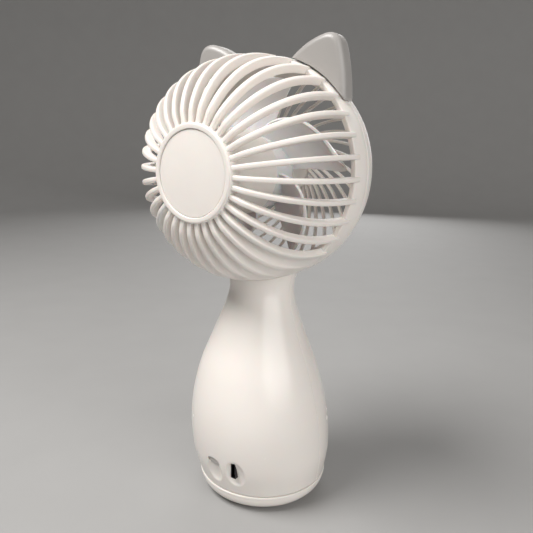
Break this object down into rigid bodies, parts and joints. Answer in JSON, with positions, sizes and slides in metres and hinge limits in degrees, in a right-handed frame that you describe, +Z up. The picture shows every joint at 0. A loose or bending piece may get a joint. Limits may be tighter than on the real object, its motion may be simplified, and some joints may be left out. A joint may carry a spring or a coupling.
{
  "type": "handheld fan",
  "caption": "Handheld fan: round ribbed cage head with cat-like ears, a spinning bladed impeller, and a bottle-shaped handle with a press button and a charging port.",
  "frame": {"origin": "centre of the foot pad's underside, under the handle", "axes": "+Z up along the handle, -Y the way the air leaves the head, +X to the fan's left"},
  "size_m": [0.0924, 0.0808, 0.2022],
  "materials": {
    "white_shell": "glossy warm white ABS",
    "grey_trim": "satin warm grey ABS",
    "blade": "satin translucent polypropylene",
    "steel": "nickel plated",
    "bronze": "sintered bronze",
    "black_plastic": "matt black nylon",
    "board": "green solder mask on glass epoxy",
    "cell_wrap": "shrink sleeve",
    "cradle": "plain moulded ABS",
    "lens": "milky light guide",
    "pad": "soft silicone",
    "lead_red": "insulated wire",
    "lead_black": "insulated wire"
  },
  "bodies": {
    "housing": {"base_cap": "white_shell", "base_screw_1": "steel", "base_screw_2": "steel", "battery_cell": "cell_wrap", "battery_cradle": "cradle", "battery_lead_black": "lead_black", "battery_lead_red": "lead_red", "battery_tab_negative": "steel", "battery_tab_positive": "steel", "charge_board": "board", "ear_left": "grey_trim", "ear_right": "grey_trim", "foot_pad": "pad", "front_badge": "grey_trim", "front_grille": "white_shell", "handle_front_shell": "white_shell", "handle_rear_shell": "white_shell", "housing_screw_1": "steel", "housing_screw_2": "steel", "housing_screw_3": "steel", "indicator_led": "lens", "indicator_lens": "lens", "motor_bushing": "bronze", "motor_can": "steel", "motor_end_cap": "black_plastic", "motor_housing": "white_shell", "motor_lead_black": "lead_black", "motor_lead_red": "lead_red", "motor_screw_1": "steel", "motor_screw_2": "steel", "rear_cap": "white_shell", "rear_grille": "white_shell", "switch_board": "board", "switch_body": "black_plastic", "usb_port": "steel", "usb_tongue": "black_plastic"},
    "rotor": {"impeller": "blade", "motor_shaft": "steel"},
    "button": {"power_button": "grey_trim", "switch_plunger": "black_plastic"}
  },
  "joints": [
    {"name": "impeller_spin", "type": "hinge", "parent": "housing", "child": "rotor", "pos_m": [0, 0.01, 0.1494], "axis": [0, 1, 0], "continuous": true},
    {"name": "power_button_press", "type": "slide", "parent": "housing", "child": "button", "axis": [0, 0.93, -0.3676], "range_m": [0, 0.0005], "stiffness_N_per_m": 300}
  ]
}
